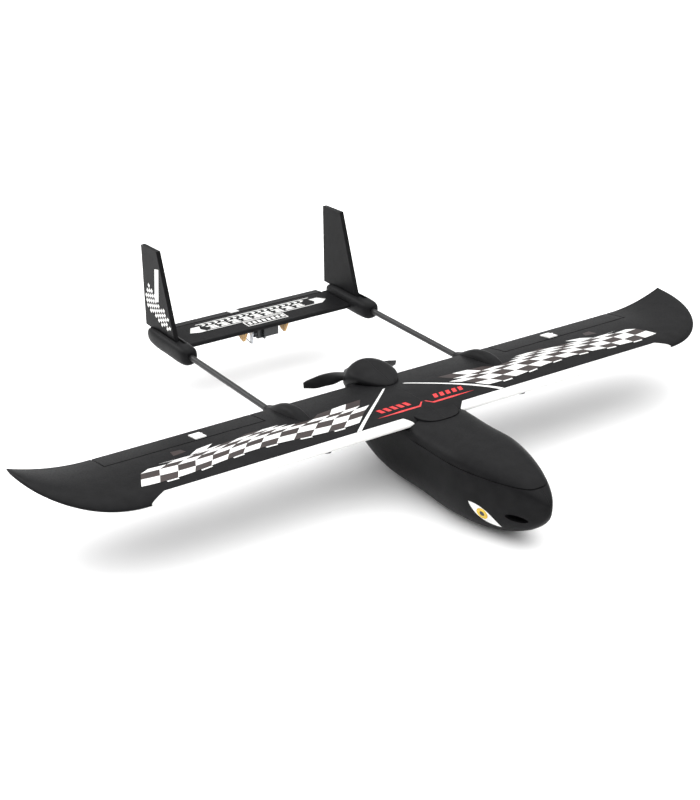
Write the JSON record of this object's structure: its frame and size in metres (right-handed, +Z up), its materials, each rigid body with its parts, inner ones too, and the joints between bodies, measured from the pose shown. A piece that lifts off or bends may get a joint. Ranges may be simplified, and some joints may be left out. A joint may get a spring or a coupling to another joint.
{
  "type": "twin-boom pusher model aeroplane",
  "caption": "Radio-controlled foam model aeroplane: long straight wing, rounded fuselage pod with lift-off hatch, pusher propeller, twin booms and an H-shaped tail.",
  "frame": {"origin": "middle of the bounding box at the height of the flat belly, which rests on the ground", "axes": "+Z up, +Y towards the tail, -Y towards the nose, +X towards the aeroplane's own left wing tip"},
  "size_m": [0.787, 0.5428, 0.165],
  "materials": {
    "black_foam": "matte",
    "white_foam": "satin",
    "carbon_tube": "satin",
    "plywood": "matte",
    "battery_wrap": "gloss",
    "hook_and_loop": "matte",
    "controller_wrap": "gloss",
    "receiver_case": "satin",
    "wire_silicone": "satin",
    "anodised_aluminium": "satin",
    "stator_steel": "satin",
    "steel_wire": "satin",
    "magnet_nickel": "polished",
    "prop_plastic": "satin",
    "servo_arm_plastic": "satin",
    "white_nylon": "satin",
    "horn_nylon": "satin",
    "hinge_nylon": "satin",
    "servo_case": "satin"
  },
  "bodies": {
    "airframe": {"aileron_servo_left": "servo_case", "aileron_servo_right": "servo_case", "battery_pack": "battery_wrap", "battery_strap": "hook_and_loop", "battery_tray": "plywood", "boom_mount_left": "black_foam", "boom_mount_right": "black_foam", "elevator_servo": "servo_case", "fin_left": "black_foam", "fin_right": "black_foam", "fuselage_left": "black_foam", "fuselage_magnets": "magnet_nickel", "fuselage_right": "black_foam", "hinge_leaves_fixed": "hinge_nylon", "hinge_pins": "steel_wire", "leading_edge_left": "white_foam", "leading_edge_right": "white_foam", "motor_base": "anodised_aluminium", "motor_cowl": "black_foam", "motor_firewall": "plywood", "motor_screws": "steel_wire", "motor_stator": "stator_steel", "motor_wires": "wire_silicone", "receiver": "receiver_case", "servo_skids": "plywood", "speed_controller": "controller_wrap", "stabilizer": "black_foam", "tail_boom_left": "carbon_tube", "tail_boom_right": "carbon_tube", "tail_pod_left": "black_foam", "tail_pod_right": "black_foam", "wing_left": "black_foam", "wing_right": "black_foam", "wing_spar": "carbon_tube"},
    "aileron_left": {"aileron_left": "black_foam", "aileron_hinge_leaves_left": "hinge_nylon", "aileron_horn_left": "horn_nylon", "aileron_horn_plate_left": "white_nylon"},
    "aileron_servo_arm_left": {"aileron_servo_arm_left": "servo_arm_plastic"},
    "aileron_pushrod_left": {"aileron_pushrod_left": "steel_wire"},
    "aileron_right": {"aileron_right": "black_foam", "aileron_hinge_leaves_right": "hinge_nylon", "aileron_horn_right": "horn_nylon", "aileron_horn_plate_right": "white_nylon"},
    "aileron_servo_arm_right": {"aileron_servo_arm_right": "servo_arm_plastic"},
    "aileron_pushrod_right": {"aileron_pushrod_right": "steel_wire"},
    "elevator": {"elevator": "black_foam", "elevator_hinge_leaves": "hinge_nylon", "elevator_horn": "horn_nylon", "elevator_horn_plate": "white_nylon"},
    "elevator_servo_arm": {"elevator_servo_arm": "servo_arm_plastic"},
    "elevator_pushrod": {"elevator_pushrod": "steel_wire"},
    "rotor": {"motor_bell": "anodised_aluminium", "motor_shaft": "steel_wire", "propeller": "prop_plastic", "prop_nut": "anodised_aluminium"},
    "hatch": {"canopy_hatch": "black_foam", "hatch_magnets": "magnet_nickel"}
  },
  "joints": [
    {"name": "aileron_left_hinge", "type": "hinge", "parent": "airframe", "child": "aileron_left", "pos_m": [0.23, -0.0239, 0.0743], "axis": [1, 0, 0], "range_deg": [-25, 25]},
    {"name": "aileron_left_arm_turn", "type": "hinge", "parent": "airframe", "child": "aileron_servo_arm_left", "pos_m": [0.214, -0.0649, 0.0724], "axis": [1, 0, 0], "range_deg": [-25, 25]},
    {"name": "aileron_left_pushrod_pivot", "type": "hinge", "parent": "aileron_servo_arm_left", "child": "aileron_pushrod_left", "pos_m": [0.214, -0.0649, 0.0629], "axis": [1, 0, 0], "range_deg": [-25, 25]},
    {"name": "aileron_right_hinge", "type": "hinge", "parent": "airframe", "child": "aileron_right", "pos_m": [-0.23, -0.0239, 0.0743], "axis": [1, 0, 0], "range_deg": [-25, 25]},
    {"name": "aileron_right_arm_turn", "type": "hinge", "parent": "airframe", "child": "aileron_servo_arm_right", "pos_m": [-0.214, -0.0649, 0.0724], "axis": [1, 0, 0], "range_deg": [-25, 25]},
    {"name": "aileron_right_pushrod_pivot", "type": "hinge", "parent": "aileron_servo_arm_right", "child": "aileron_pushrod_right", "pos_m": [-0.214, -0.0649, 0.0629], "axis": [1, 0, 0], "range_deg": [-25, 25]},
    {"name": "elevator_hinge", "type": "hinge", "parent": "airframe", "child": "elevator", "pos_m": [0, 0.2576, 0.0633], "axis": [1, 0, 0], "range_deg": [-25, 25]},
    {"name": "elevator_arm_turn", "type": "hinge", "parent": "airframe", "child": "elevator_servo_arm", "pos_m": [-0.0175, 0.2171, 0.0551], "axis": [1, 0, 0], "range_deg": [-25, 25]},
    {"name": "elevator_pushrod_pivot", "type": "hinge", "parent": "elevator_servo_arm", "child": "elevator_pushrod", "pos_m": [-0.0175, 0.2171, 0.0441], "axis": [1, 0, 0], "range_deg": [-25, 25]},
    {"name": "propeller_spin", "type": "hinge", "parent": "airframe", "child": "rotor", "pos_m": [0, 0.0466, 0.064], "axis": [0, 1, 0], "continuous": true},
    {"name": "hatch_lift", "type": "slide", "parent": "airframe", "child": "hatch", "axis": [0, 0, 1], "range_m": [0, 0.05]}
  ],
  "couplings": [
    {"joint": "aileron_left_arm_turn", "follows": "aileron_left_hinge", "ratio": 1},
    {"joint": "aileron_left_pushrod_pivot", "follows": "aileron_left_hinge", "ratio": -1},
    {"joint": "aileron_right_arm_turn", "follows": "aileron_right_hinge", "ratio": 1},
    {"joint": "aileron_right_pushrod_pivot", "follows": "aileron_right_hinge", "ratio": -1},
    {"joint": "elevator_arm_turn", "follows": "elevator_hinge", "ratio": 1},
    {"joint": "elevator_pushrod_pivot", "follows": "elevator_hinge", "ratio": -1}
  ]
}
